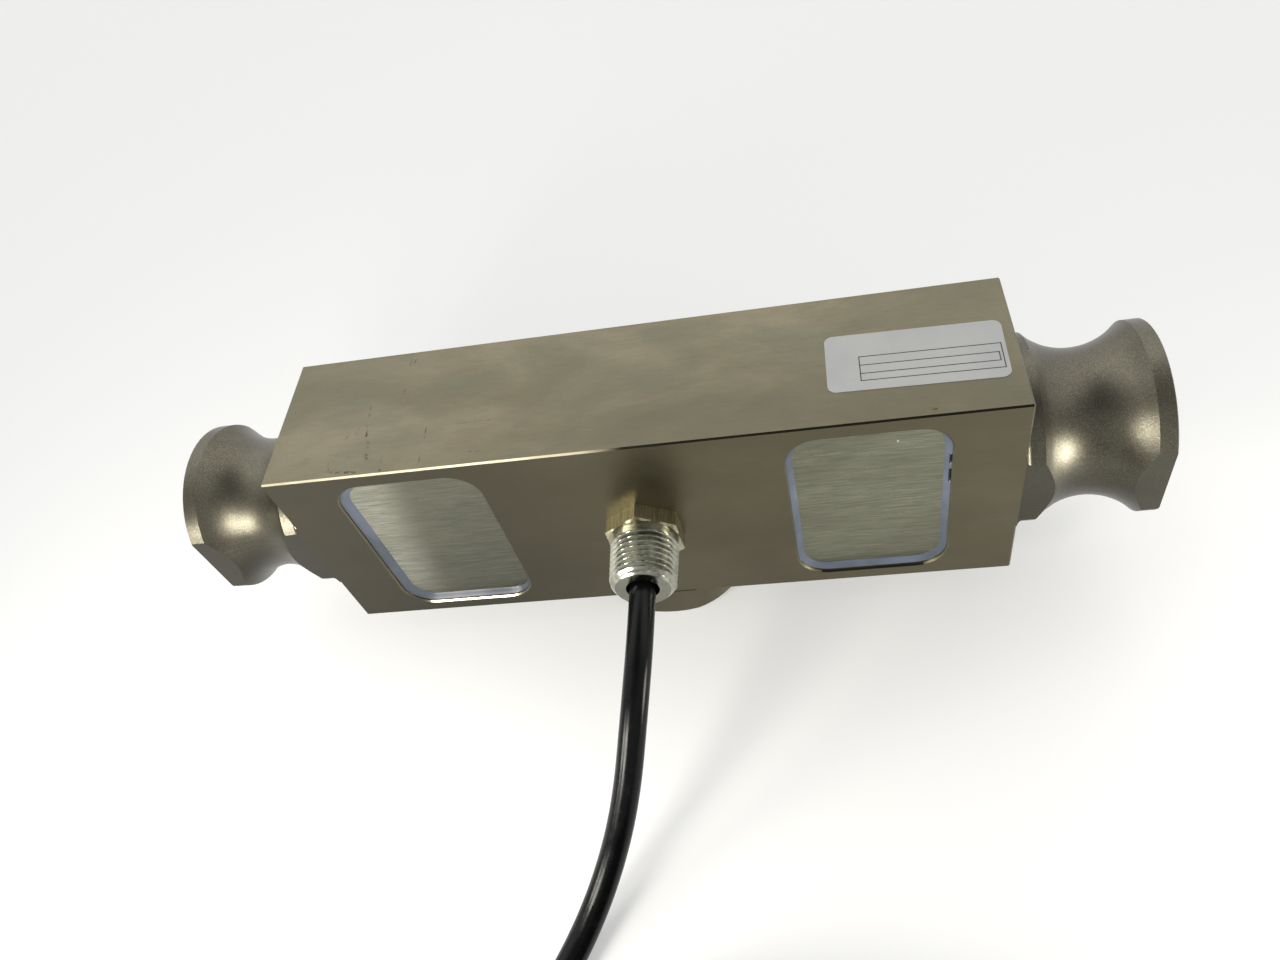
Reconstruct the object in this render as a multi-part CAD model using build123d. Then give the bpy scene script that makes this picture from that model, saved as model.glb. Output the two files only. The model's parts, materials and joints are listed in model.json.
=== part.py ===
from build123d import *
import math
import os

# Double ended beam load cell, millimetres.
# X runs along the beam, Z is up and the cable leaves towards -Y.
# The origin is the centre of the boss's lower face, on which the cell stands.

# Beam block
block_length = 222.25
block_width = 50.8
block_height = 77.1
edge_break = 0.5

# Load boss under the block
boss_diameter = 54.0
boss_height = 13.0
boss_edge = 1.7

# Turned ends, with a round groove for the loading link
end_diameter = 57.1
neck_diameter = 44.45
groove_radius = 20.0
collar_length = 5.25
rim_length = 4.8
rim_edge = 0.3
collar_fillet = 1.5
centre_sink_diameter = 9.0
centre_drill_diameter = 4.0
centre_drill_depth = 9.0

# Recesses for the cover plates, two on the front and two on the back
recess_width = 45.7
recess_height = 66.4
recess_corner = 9.5
recess_spacing = 136.4
recess_edge = 0.5

# Gauge pockets behind the cover plates, with the shear web between them
gauge_pocket_width = 38.0
gauge_pocket_height = 52.0
gauge_pocket_corner = 9.0
web_thickness = 12.7

# Cover plates and the sealant round them
cover_thickness = 1.5
cover_gap = 1.55
cover_sunk = 2.5
front_left_cover_shift = 1.0
bead_lip = 0.4
bead_rise = 1.5
bead_wall_edge = 0.4

# Strain gauges on the web
gauge_side = 12.0
gauge_film = 0.2
grid_length = 7.2
grid_width = 2.6
grid_height = 0.15

# Terminal board in the front right pocket
board_length = 28.0
board_height = 11.0
board_thickness = 1.6
board_rise = 16.5
pad_thickness = 1.0
pad_margin = 1.5
chip_count = 4
chip_length = 3.2
chip_height = 1.6
chip_thickness = 0.7

# Cable fitting on the front face
hex_across_flats = 22.2
hex_height = 5.4
hex_chamfer_angle = 30.0
thread_diameter = 21.3
thread_length = 17.1
thread_relief_length = 1.2
thread_depth = 1.45
thread_taper = 1 / 16
fitting_end_diameter = 16.6
outlet_diameter = 9.9
stub_diameter = 17.8
stub_length = 10.0
stub_chamfer = 0.8
stub_clearance = 0.1
gland_bore_diameter = 12.2
gland_bore_depth = 21.0
ring_section = 1.0
ring_clearance = 0.02

# Seal inside the fitting
grommet_length = 8.0
washer_thickness = 1.2
seal_clearance = 0.05
anchor_width = 2.5
anchor_thickness = 1.2
anchor_offset = 3.0

# Hollow behind the fitting and the wire ways
cavity_depth = 21.0
port_diameter = 6.4
port_depth = 13.4
web_hole_diameter = 4.0
web_hole_along = 13.0
web_hole_down = 12.0
lead_diameter = 2.0
lead_bend = 2.5
lead_part = 2.2
lead_back = 0.9
lead_inset = 2.0
lead_dip = 3.0
web_hole_run = 3.0
port_run = 6.0
port_lip = 1.0
port_drop = 1.0
port_clear = 2.0
arrival_rise = 6.0
lead_arrivals = {
    "front_left": -10.7,
    "back_left": -6.7,
    "cores": -2.7,
    "front_right": 2.0,
    "back_right": 9.8,
}
core_bundle_diameter = 2.6
core_bundle_front = 1.6
core_bundle_run = 10.0

# Label on the top face
label_length = 48.6
label_width = 21.9
label_thickness = 0.15
label_corner = 2.5
label_end_margin = 3.4
label_y = -2.9
label_turn = -1.3

# Cable
cable_diameter = 8.0
outer_start_depth = 14.0
cable_run = 24.0
coil_radius = 57.0
coil_width = 34.6
coil_height = 32.6
coil_corner = 5.6
coil_x = 4.0
coil_y = -224.0
lead_in_angle = 150.0
lead_in_length = 38.0
turn_slack = 0.8
tail_angles = (164, 178, 192, 206, 220, 234, 248)
tail_climb = (-15.0, -7.4, -2.4, 0.0, 0.0, 0.0, 0.0)
tail_sunk = 0.1
sleeve_length = 34.0
sleeve_diameter = 9.4
core_count = 5
core_diameter = 1.8
core_length = 42.0
core_pitch = 2.1
core_circle = 2.4
core_bend = 6.0
core_fan = ((0.3, 0.8, 1.2), (0.62, 1.0, 0.0), (1.0, 1.0, 0.0))
tie_width = 4.6
tie_thickness = 1.2
tie_angles = (10.0, 166.0)

# Values worked out from the sizes above
axis_height = boss_height + block_height / 2
front_y = -block_width / 2
end_radius = end_diameter / 2
neck_radius = neck_diameter / 2
groove_depth = end_radius - neck_radius
groove_half = math.sqrt(groove_radius**2 - (groove_radius - groove_depth) ** 2)
collar_end = block_length / 2 + collar_length
groove_middle = collar_end + groove_half
rim_start = collar_end + 2 * groove_half
rim_end = rim_start + rim_length
recess_depth = cover_sunk + cover_thickness
recess_x = recess_spacing / 2
web_y = web_thickness / 2
cover_width = recess_width - 2 * cover_gap
cover_height = recess_height - 2 * cover_gap
cover_corner = recess_corner - cover_gap
stub_radius = stub_diameter / 2
cavity_radius = stub_radius + stub_clearance
ring_radius = stub_radius + ring_section / 2 + ring_clearance
ring_seat = ring_section / 2 * (1 + math.sqrt(2)) + ring_radius - cavity_radius + ring_clearance
fitting_end_y = front_y - hex_height - thread_length
stub_end_y = front_y + stub_length
gland_bore_end_y = stub_end_y - gland_bore_depth
cable_radius = cable_diameter / 2
outer_start_y = fitting_end_y + outer_start_depth
port_y = front_y + port_depth
lead_radius = lead_diameter / 2
sleeve_radius = sleeve_diameter / 2

os.makedirs("parts", exist_ok=True)
parts = {}


# A rounded rectangle on a plane that faces outwards at the front or back
def face_plane(side, x, depth):
    y = side * (block_width / 2 - depth)
    x_dir = (1, 0, 0) if side < 0 else (-1, 0, 0)
    return Plane(origin=(x, y, axis_height), x_dir=x_dir, z_dir=(0, side, 0))


def rounded_prism(side, x, depth, height, width, tall, corner):
    sketch = face_plane(side, x, depth) * RectangleRounded(width, tall, corner)
    return extrude(sketch, height)


# A solid of revolution about an axis that runs along Y through the fitting
def along_y(radius, start_y, end_y):
    plane = Plane(origin=(0, start_y, axis_height), x_dir=(1, 0, 0), z_dir=(0, -1, 0))
    return extrude(plane * Circle(radius), start_y - end_y)


def turned_about_y(points):
    outline = Polyline(*[(r, y) for r, y in points], close=True)
    face = make_face(outline)
    return Pos(0, 0, axis_height) * revolve(face, Axis.Y)


# A wire of one diameter through a few points, with bent corners
def wire_through(points, radius, bend):
    path = FilletPolyline(*points, radius=bend)
    start = Plane(origin=path @ 0, z_dir=path % 0)
    return sweep(start * Circle(radius), path)


# Beam body
def turned_end():
    root = block_length / 2 - collar_length
    fillet_x = block_length / 2 + collar_fillet
    fillet_r = end_radius + collar_fillet
    near = (1 - math.sqrt(0.5)) * collar_fillet
    outline = [
        Line((root, 0), (root, fillet_r)),
        Line((root, fillet_r), (block_length / 2, fillet_r)),
        ThreePointArc(
            (block_length / 2, fillet_r),
            (block_length / 2 + near, end_radius + near),
            (fillet_x, end_radius),
        ),
        Line((fillet_x, end_radius), (collar_end, end_radius)),
        ThreePointArc(
            (collar_end, end_radius),
            (groove_middle, neck_radius),
            (rim_start, end_radius),
        ),
        Line((rim_start, end_radius), (rim_end - rim_edge, end_radius)),
        Line((rim_end - rim_edge, end_radius), (rim_end, end_radius - rim_edge)),
        Line((rim_end, end_radius - rim_edge), (rim_end, 0)),
        Line((rim_end, 0), (root, 0)),
    ]
    solid = revolve(make_face(outline), Axis.X)
    flat_sides = Box(4 * block_length, block_width, 4 * end_diameter)
    return solid & flat_sides


def centre_hole():
    sink_depth = (centre_sink_diameter - centre_drill_diameter) / 2 * math.sqrt(3)
    drill = centre_drill_diameter / 2
    outline = Polyline(
        (rim_end, 0),
        (rim_end, centre_sink_diameter / 2),
        (rim_end - sink_depth, drill),
        (rim_end - centre_drill_depth, drill),
        (rim_end - centre_drill_depth - drill, 0),
        close=True,
    )
    return revolve(make_face(outline), Axis.X)


def recess_cut(side, x):
    inner = RectangleRounded(recess_width, recess_height, recess_corner)
    cut = extrude(face_plane(side, x, recess_depth) * inner, recess_depth)
    outer = RectangleRounded(
        recess_width + 2 * recess_edge, recess_height + 2 * recess_edge, recess_corner + recess_edge
    )
    rim = loft([face_plane(side, x, recess_edge) * inner, face_plane(side, x, 0) * outer])
    depth = block_width / 2 - web_y
    pocket = rounded_prism(
        side, x, depth, depth, gauge_pocket_width, gauge_pocket_height, gauge_pocket_corner
    )
    return cut + rim + pocket


def boss():
    on_floor = (Align.CENTER, Align.CENTER, Align.MIN)
    round_boss = Cylinder(boss_diameter / 2, boss_height, align=on_floor)
    turned_boss = chamfer(round_boss.faces().sort_by(Axis.Z)[0].edges(), boss_edge)
    return turned_boss & Box(2 * boss_diameter, block_width, boss_height, align=on_floor)


def beam_body():
    block = Box(block_length, block_width, block_height)
    block = chamfer(block.edges(), edge_break)
    right = turned_end() - centre_hole()
    left = right.mirror(Plane.YZ)
    body = Pos(0, 0, axis_height) * (block + right + left)
    body = body + boss()
    for side in (-1, 1):
        for x in (-recess_x, recess_x):
            body = body - recess_cut(side, x)
    cavity = turned_about_y(
        [
            (0, front_y - 1),
            (cavity_radius + ring_seat + 1, front_y - 1),
            (cavity_radius, front_y + ring_seat),
            (cavity_radius, front_y + cavity_depth),
            (0, front_y + cavity_depth + cavity_radius / math.sqrt(3)),
        ]
    )
    body = body - cavity
    port_half = recess_x - gauge_pocket_width / 4
    port = Pos(0, port_y, axis_height) * Rot(0, 90, 0) * Cylinder(port_diameter / 2, 2 * port_half)
    body = body - port
    for x in (-recess_x + web_hole_along, recess_x - web_hole_along):
        hole = Rot(90, 0, 0) * Cylinder(web_hole_diameter / 2, 2 * web_thickness)
        body = body - Pos(x, 0, axis_height - web_hole_down) * hole
    return body


parts["beam_body"] = beam_body()


# Cover plates and sealant beads
cover_places = {
    "front_left": (-1, -recess_x, front_left_cover_shift),
    "front_right": (-1, recess_x, 0.0),
    "back_left": (1, -recess_x, 0.0),
    "back_right": (1, recess_x, 0.0),
}


def cover_plate(side, x, shift):
    return rounded_prism(
        side, x + shift, recess_depth, cover_thickness, cover_width, cover_height, cover_corner
    )


def sealant_bead(side, x, shift):
    full = rounded_prism(
        side, x, recess_depth, cover_thickness + bead_rise, recess_width, recess_height, recess_corner
    )
    lower_outline = RectangleRounded(
        cover_width - 2 * bead_lip, cover_height - 2 * bead_lip, cover_corner - bead_lip
    )
    upper_outline = RectangleRounded(
        recess_width - 2 * bead_wall_edge,
        recess_height - 2 * bead_wall_edge,
        recess_corner - bead_wall_edge,
    )
    slope = loft(
        [
            face_plane(side, x + shift, cover_sunk) * lower_outline,
            face_plane(side, x, cover_sunk - bead_rise) * upper_outline,
        ]
    )
    return full - cover_plate(side, x, shift) - slope


for place, (side, x, shift) in cover_places.items():
    parts["cover_plate_" + place] = cover_plate(side, x, shift)
    parts["sealant_bead_" + place] = sealant_bead(side, x, shift)


# Strain gauges: a film with two grids at 45 degrees
def strain_gauge(side, x):
    depth = block_width / 2 - web_y
    plane = face_plane(side, x, depth)
    gauge = extrude(plane * Rectangle(gauge_side, gauge_side), gauge_film)
    top = face_plane(side, x, depth - gauge_film)
    half = grid_length / 2 - grid_width / 2
    for turn, shift in ((45, -half), (-45, half)):
        grid = top * Pos(shift, 0) * Rot(0, 0, turn) * Rectangle(grid_length, grid_width)
        gauge = gauge + extrude(grid, grid_height)
    return gauge


for place, (side, x, shift) in cover_places.items():
    parts["strain_gauge_" + place] = strain_gauge(side, x)

# Terminal board on its pad
board_y = -web_y - pad_thickness
board_z = axis_height + board_rise
board_centre = Pos(recess_x, board_y - board_thickness / 2, board_z)
pad_centre = Pos(recess_x, -web_y - pad_thickness / 2, board_z)
parts["terminal_board"] = board_centre * Box(board_length, board_thickness, board_height)
parts["board_pad"] = pad_centre * Box(
    board_length - 2 * pad_margin, pad_thickness, board_height - 2 * pad_margin
)
chip_pitch = board_length / (chip_count + 1)
chip_y = board_y - board_thickness - chip_thickness / 2
parts["trim_resistors"] = Compound(
    children=[
        Pos(recess_x + (i - (chip_count - 1) / 2) * chip_pitch, chip_y, board_z + chip_height)
        * Box(chip_length, chip_thickness, chip_height)
        for i in range(chip_count)
    ]
)


# Cable fitting: hexagon, taper thread outside and a stub inside
def cable_fitting():
    hex_end_y = front_y - hex_height
    plane = Plane(origin=(0, front_y, axis_height), x_dir=(0, 0, 1), z_dir=(0, -1, 0))
    hexagon = extrude(plane * RegularPolygon(hex_across_flats / math.sqrt(3), 6), hex_height)
    corner = hex_across_flats / math.sqrt(3) + 0.01
    flat = hex_across_flats / 2
    cone_drop = (corner - flat) * math.tan(math.radians(hex_chamfer_angle))
    cone = turned_about_y(
        [
            (0, front_y),
            (corner, front_y),
            (corner, hex_end_y + cone_drop),
            (flat, hex_end_y),
            (0, hex_end_y),
        ]
    )
    big = thread_diameter / 2
    small = big - thread_taper / 2 * (thread_length - thread_relief_length)
    end_radius_out = fitting_end_diameter / 2
    chamfer_y = fitting_end_y + small - end_radius_out
    thread = turned_about_y(
        [
            (0, hex_end_y),
            (big - thread_depth, hex_end_y),
            (big - thread_depth, hex_end_y - thread_relief_length),
            (big, hex_end_y - thread_relief_length - thread_depth / 2),
            (small, chamfer_y),
            (end_radius_out, fitting_end_y),
            (0, fitting_end_y),
        ]
    )
    stub = turned_about_y(
        [
            (0, front_y),
            (stub_radius, front_y),
            (stub_radius, stub_end_y - stub_chamfer),
            (stub_radius - stub_chamfer, stub_end_y),
            (0, stub_end_y),
        ]
    )
    body = (hexagon & cone) + thread + stub
    body = body - along_y(gland_bore_diameter / 2, stub_end_y + 1, gland_bore_end_y)
    return body - along_y(outlet_diameter / 2, stub_end_y, fitting_end_y - 1)


parts["cable_fitting"] = cable_fitting()
ring_y = front_y + ring_section / 2 + ring_clearance
ring_circle = Pos(ring_radius, ring_y) * Circle(ring_section / 2)
parts["fitting_o_ring"] = Pos(0, 0, axis_height) * revolve(ring_circle, Axis.Y)
seal_radius = gland_bore_diameter / 2 - seal_clearance
grommet_end_y = gland_bore_end_y + grommet_length
washer_end_y = grommet_end_y + washer_thickness
parts["gland_grommet"] = along_y(seal_radius, grommet_end_y, gland_bore_end_y) - along_y(
    cable_radius, grommet_end_y + 1, gland_bore_end_y - 1
)
parts["gland_washer"] = along_y(seal_radius, washer_end_y, grommet_end_y) - along_y(
    cable_radius + seal_clearance, washer_end_y + 1, grommet_end_y - 1
)

# Cable inside the fitting, the tie that stops it pulling out, and its cores
anchor_y = washer_end_y + anchor_width
parts["anchor_tie"] = along_y(cable_radius + anchor_thickness, anchor_y, washer_end_y) - along_y(
    cable_radius, anchor_y + 1, washer_end_y - 1
)
inner_end_y = anchor_y + anchor_offset
parts["cable_inner_end"] = along_y(cable_radius, inner_end_y, outer_start_y)


# Gauge leads and cable cores on their way to the terminal board
gauge_lead_y = web_y + gauge_film + lead_radius
board_mid_y = board_y - board_thickness / 2
board_foot_z = board_z - board_height / 2
port_mouth = recess_x - gauge_pocket_width / 2
web_hole_x = recess_x - web_hole_along
web_hole_z = axis_height - web_hole_down
lead_port_y = port_y + lead_back
over_port_z = axis_height + lead_part / 2
under_port_z = axis_height - lead_part / 2
gauge_edge = gauge_side / 2 - lead_inset


def board_arrival(name):
    x = recess_x + lead_arrivals[name]
    return [(x, board_mid_y, board_foot_z - arrival_rise), (x, board_mid_y, board_foot_z)]


def through_web(side):
    return [
        (side * (recess_x - gauge_edge), gauge_lead_y, axis_height - gauge_edge),
        (side * web_hole_x, gauge_lead_y, axis_height - gauge_edge - lead_dip),
        (side * web_hole_x, gauge_lead_y, web_hole_z),
        (side * web_hole_x, -web_y - web_hole_run, web_hole_z),
    ]


front_left_points = [
    (-recess_x + gauge_edge, -gauge_lead_y, over_port_z),
    (-port_mouth - port_run, -gauge_lead_y, over_port_z),
    (-port_mouth - port_lip, lead_port_y, over_port_z),
    (port_mouth + port_clear, lead_port_y, over_port_z),
] + board_arrival("front_left")
back_left_points = (
    through_web(-1)
    + [
        (-port_mouth - 1.5 * port_lip, lead_port_y, under_port_z - port_drop),
        (-port_mouth + 3 * port_lip, lead_port_y, under_port_z),
        (port_mouth + 2 * port_clear, lead_port_y, under_port_z),
    ]
    + board_arrival("back_left")
)
back_right_points = (
    through_web(1)
    + [(recess_x + lead_arrivals["back_right"], -web_y - web_hole_run, web_hole_z)]
    + board_arrival("back_right")
)
core_points = [
    (0, inner_end_y, axis_height),
    (0, port_y - core_bundle_front, axis_height),
    (port_mouth + core_bundle_run, port_y - core_bundle_front, axis_height),
] + board_arrival("cores")
front_right_x = recess_x + lead_arrivals["front_right"]
front_right_points = [
    (front_right_x, -gauge_lead_y, axis_height + gauge_edge),
    (front_right_x, -gauge_lead_y, board_foot_z),
]
parts["leads_front_left"] = wire_through(front_left_points, lead_radius, lead_bend)
parts["leads_back_left"] = wire_through(back_left_points, lead_radius, lead_bend)
parts["leads_back_right"] = wire_through(back_right_points, lead_radius, lead_bend)
parts["cores_inside"] = wire_through(core_points, core_bundle_diameter / 2, lead_bend)
front_right_path = Line(*front_right_points)
front_right_start = Plane(origin=front_right_path @ 0, z_dir=front_right_path % 0)
parts["leads_front_right"] = sweep(front_right_start * Circle(lead_radius), front_right_path)

# Label on the top face
label_x = block_length / 2 - label_end_margin - label_length / 2
label_place = Pos(label_x, label_y, boss_height + block_height) * Rot(0, 0, label_turn)
parts["label"] = extrude(
    label_place * RectangleRounded(label_length, label_width, label_corner), label_thickness
)


# Cable outside: a tube to the coil, the coil, its ties and the bare end
def cord_tube(points, diameter, name):
    runs = [Vector(*b) - Vector(*a) for a, b in zip(points, points[1:])]
    radii = []
    for before, after in zip(runs, runs[1:]):
        turn = math.radians(before.get_angle(after))
        radii.append(0.45 * min(before.length, after.length) / math.tan(turn / 2))
    path = FilletPolyline(*points, radius=radii)
    tube = sweep(Plane(origin=path @ 0, z_dir=path % 0) * Circle(diameter / 2), path)
    share = tube.volume / (math.pi * diameter**2 / 4 * path.length)
    print(name, "radii", [round(r, 1) for r in radii], "length", round(path.length, 1))
    print(name, "volume against section times length", round(share, 5))
    return tube


def around_coil(radius, angle, z):
    turn = math.radians(angle)
    return (coil_x + radius * math.cos(turn), coil_y + radius * math.sin(turn), z)


def swept_about_coil(sketch, start_angle, arc):
    solid = revolve(sketch, Axis.Z, revolution_arc=arc)
    return Pos(coil_x, coil_y, 0) * Rot(0, 0, start_angle) * solid


outer_turn_radius = coil_radius + coil_width / 2 - cable_radius - turn_slack
lead_in_turn = math.radians(lead_in_angle)
lead_in_way = Vector(-math.sin(lead_in_turn), math.cos(lead_in_turn), 0)
lead_in_end = Vector(*around_coil(outer_turn_radius, lead_in_angle, cable_radius))
lead_in_start = lead_in_end - lead_in_way * lead_in_length
last_bend = lead_in_start - lead_in_way * cable_run
cable_points = [
    (0, outer_start_y, axis_height),
    (0, -60, axis_height),
    (-3, -82, 42.5),
    (-8, -102, 26),
    (-16, -118, 11),
    tuple(last_bend),
    tuple(lead_in_start),
]
parts["cable_tube"] = cord_tube(cable_points, cable_diameter, "cable_tube")

ring_section_outline = Plane.XZ * Pos(coil_radius, coil_height / 2) * RectangleRounded(
    coil_width, coil_height, coil_corner
)
tie_inside = Plane.XZ * Pos(coil_radius, coil_height / 2) * RectangleRounded(
    coil_width - 2 * tie_thickness, coil_height - 2 * tie_thickness, coil_corner - tie_thickness
)
tie_arc = math.degrees(tie_width / coil_radius)
ties = [
    swept_about_coil(ring_section_outline - tie_inside, angle - tie_arc / 2, tie_arc)
    for angle in tie_angles
]
parts["coil_ties"] = Compound(children=ties)

ring = Pos(coil_x, coil_y, 0) * revolve(ring_section_outline, Axis.Z)
lead_in_plane = Plane(origin=lead_in_start, z_dir=lead_in_way)
lead_in = extrude(lead_in_plane * Circle(cable_radius), lead_in_length)
tail_z = coil_height + cable_radius - tail_sunk
tail_points = [
    around_coil(coil_radius, angle, tail_z + climb) for angle, climb in zip(tail_angles, tail_climb)
]
tail = cord_tube(tail_points, cable_diameter, "tail on the coil")
coil = ring + lead_in + tail
for tie in ties:
    coil = coil - tie
parts["cable_coil"] = coil

sleeve_z = coil_height + sleeve_radius
sleeve_start = tail_angles[-1]
sleeve_arc = math.degrees(sleeve_length / coil_radius)
sleeve_circle = Plane.XZ * Pos(coil_radius, sleeve_z) * Circle(sleeve_radius)
sleeve = swept_about_coil(sleeve_circle, sleeve_start, sleeve_arc) - coil
parts["end_sleeve"] = sleeve
core_start = sleeve_start + sleeve_arc
core_radius = core_diameter / 2


def end_core(i):
    turn = 2 * math.pi * i / core_count
    side = (i - (core_count - 1) / 2) * core_pitch
    arc = math.degrees(core_length / coil_radius)
    start_radius = coil_radius + core_circle * math.sin(turn)
    low_z = coil_height + core_radius
    points = [around_coil(start_radius, core_start, sleeve_z + core_circle * math.cos(turn))]
    for along, spread, rise in core_fan:
        points.append(around_coil(coil_radius + side * spread, core_start + arc * along, low_z + rise))
    return wire_through(points, core_radius, core_bend) - sleeve


parts["cable_cores"] = Compound(children=[end_core(i) for i in range(core_count)])

for name in parts:
    export_step(parts[name], "parts/" + name + ".step")
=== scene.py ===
import json
import math

import bpy
from mathutils import Matrix, Vector, noise


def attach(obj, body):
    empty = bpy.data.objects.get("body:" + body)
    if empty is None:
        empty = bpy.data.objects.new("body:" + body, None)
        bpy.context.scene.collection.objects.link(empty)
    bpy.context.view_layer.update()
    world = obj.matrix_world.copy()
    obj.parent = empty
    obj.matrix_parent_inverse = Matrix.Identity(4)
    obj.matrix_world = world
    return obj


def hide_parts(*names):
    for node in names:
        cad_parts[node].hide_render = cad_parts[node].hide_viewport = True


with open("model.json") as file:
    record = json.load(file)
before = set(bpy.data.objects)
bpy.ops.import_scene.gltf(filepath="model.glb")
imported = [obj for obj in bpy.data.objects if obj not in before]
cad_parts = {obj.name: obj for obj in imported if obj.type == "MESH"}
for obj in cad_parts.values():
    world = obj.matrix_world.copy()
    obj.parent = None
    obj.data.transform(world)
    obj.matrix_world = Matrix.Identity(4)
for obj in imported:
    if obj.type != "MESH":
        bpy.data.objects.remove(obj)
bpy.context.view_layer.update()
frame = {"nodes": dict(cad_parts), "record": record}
nodes = frame["nodes"]
mm = 0.001

# Sizes that the solids have too, in metres
block_length = 222.25 * mm
block_width = 50.8 * mm
block_height = 77.1 * mm
boss_height = 13.0 * mm
axis_height = boss_height + block_height / 2
top_z = boss_height + block_height
front_y = -block_width / 2
recess_width = 45.7 * mm
recess_height = 66.4 * mm
recess_corner = 9.5 * mm
recess_x = 68.2 * mm
cover_gap = 1.55 * mm
cover_sunk = 2.5 * mm
cover_thickness = 1.5 * mm
bead_top = 1.0 * mm
front_left_cover_shift = 1.0 * mm
hex_across_flats = 22.2 * mm
hex_height = 5.4 * mm
thread_diameter = 21.3 * mm
thread_length = 17.1 * mm
thread_relief_length = 1.2 * mm
thread_pitch = 1.814 * mm
thread_depth = 1.45 * mm
thread_taper = 1 / 16
fitting_end_diameter = 16.6 * mm
outlet_diameter = 9.9 * mm
label_thickness = 0.15 * mm
label_x = 83.4 * mm
label_y = -2.9 * mm
label_turn = math.radians(-1.3)
hex_end_y = front_y - hex_height
fitting_end_y = hex_end_y - thread_length

# Sizes of the cable
cable_diameter = 8.0 * mm
coil_radius = 57.0 * mm
coil_x = 4.0 * mm
coil_y = -224.0 * mm
sleeve_diameter = 9.4 * mm
sleeve_length = 34.0 * mm
core_diameter = 1.8 * mm
core_length = 42.0 * mm

# Camera, as solved from the block's edges in the photograph
photo_width = 1280
camera_focal_pixels = 959.0
camera_place = Vector((55.21, -197.3, 289.01)) * mm
camera_right = Vector((0.97781, 0.04036, -0.20558))
camera_down = Vector((-0.09571, -0.78684, -0.60969))


def make_camera():
    data = bpy.data.cameras.new("camera")
    data.sensor_width = 36.0
    data.lens = camera_focal_pixels / photo_width * data.sensor_width
    data.clip_start = 0.005
    data.clip_end = 20
    camera = bpy.data.objects.new("camera", data)
    bpy.context.scene.collection.objects.link(camera)
    right = camera_right.normalized()
    up = -(camera_down - camera_down.dot(right) * right).normalized()
    back = right.cross(up)
    turn = Matrix((right, up, back)).transposed()
    camera.matrix_world = Matrix.Translation(camera_place) @ turn.to_4x4()
    bpy.context.scene.camera = camera


make_camera()


# Short names for building node trees
class Tree:
    def __init__(self, name):
        self.material = bpy.data.materials.new(name)
        self.material.use_nodes = True
        self.tree = self.material.node_tree
        self.shader = self.tree.nodes["Principled BSDF"]
        self.coordinates = self.node("ShaderNodeTexCoord").outputs["Object"]

    def node(self, kind, inputs=None, **settings):
        made = self.tree.nodes.new(kind)
        for key, value in settings.items():
            setattr(made, key, value)
        for key, value in (inputs or {}).items():
            self.put(made.inputs[key], value)
        return made

    def put(self, socket, value):
        if isinstance(value, bpy.types.NodeSocket):
            self.tree.links.new(value, socket)
        else:
            socket.default_value = value

    def scaled(self, scale):
        inputs = {"Vector": self.coordinates, "Scale": scale}
        return self.node("ShaderNodeMapping", inputs).outputs["Vector"]

    def noise(self, scale, detail=3.0, rough=0.55, stretch=(1, 1, 1), twist=0.0):
        inputs = {
            "Vector": self.scaled(stretch),
            "Scale": scale,
            "Detail": detail,
            "Roughness": rough,
            "Distortion": twist,
        }
        return self.node("ShaderNodeTexNoise", inputs).outputs["Fac"]

    def math(self, operation, a, b=0.0, c=0.0, clamp=False):
        made = self.node("ShaderNodeMath", {0: a, 1: b, 2: c}, operation=operation)
        made.use_clamp = clamp
        return made.outputs[0]

    def band(self, value, low, high, to_low=0.0, to_high=1.0):
        inputs = {"Value": value, "From Min": low, "From Max": high, "To Min": to_low, "To Max": to_high}
        made = self.node("ShaderNodeMapRange", inputs, interpolation_type="SMOOTHSTEP")
        return made.outputs["Result"]

    def blend(self, share, a, b):
        made = self.node("ShaderNodeMix", {"Factor": share}, data_type="RGBA")
        self.put(made.inputs[6], a)
        self.put(made.inputs[7], b)
        return made.outputs[2]

    def axis(self, name):
        made = self.node("ShaderNodeSeparateXYZ", {"Vector": self.coordinates})
        return made.outputs[name]

    def facing(self, direction):
        normal = self.node("ShaderNodeNewGeometry").outputs["True Normal"]
        made = self.node("ShaderNodeVectorMath", {0: normal, 1: direction}, operation="DOT_PRODUCT")
        return made.outputs["Value"]

    def distance(self, place):
        made = self.node("ShaderNodeVectorMath", {0: self.coordinates, 1: place}, operation="DISTANCE")
        return made.outputs["Value"]

    def bump(self, height, distance, strength):
        inputs = {"Height": height, "Distance": distance, "Strength": strength}
        return self.node("ShaderNodeBump", inputs).outputs["Normal"]

    def set(self, **values):
        names = {
            "color": "Base Color",
            "metal": "Metallic",
            "rough": "Roughness",
            "normal": "Normal",
            "anisotropic": "Anisotropic",
            "tangent": "Tangent",
            "coat": "Coat Weight",
            "coat_rough": "Coat Roughness",
            "ior": "IOR",
        }
        for key, value in values.items():
            self.put(self.shader.inputs[names[key]], value)
        return self.material


def rgb(red, green, blue):
    linear = []
    for value in (red, green, blue):
        share = value / 255
        linear.append(share / 12.92 if share <= 0.04045 else ((share + 0.055) / 1.055) ** 2.4)
    return (*linear, 1.0)


# Within what distance of a border one look of a piece gives way to the next
look_change = 0.2 * mm
middle_change = 10 * mm

# Which way the block's upper front edge faces, and which way the turned ends' painted shade faces
broken_edge_way = (0, -0.7071, 0.7071)
painted_shade_way = (0, -0.8, -0.6)


# One in the beam's left half, nought in its right half
def in_left_half(t):
    return t.band(t.axis("X"), middle_change, -middle_change)
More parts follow.
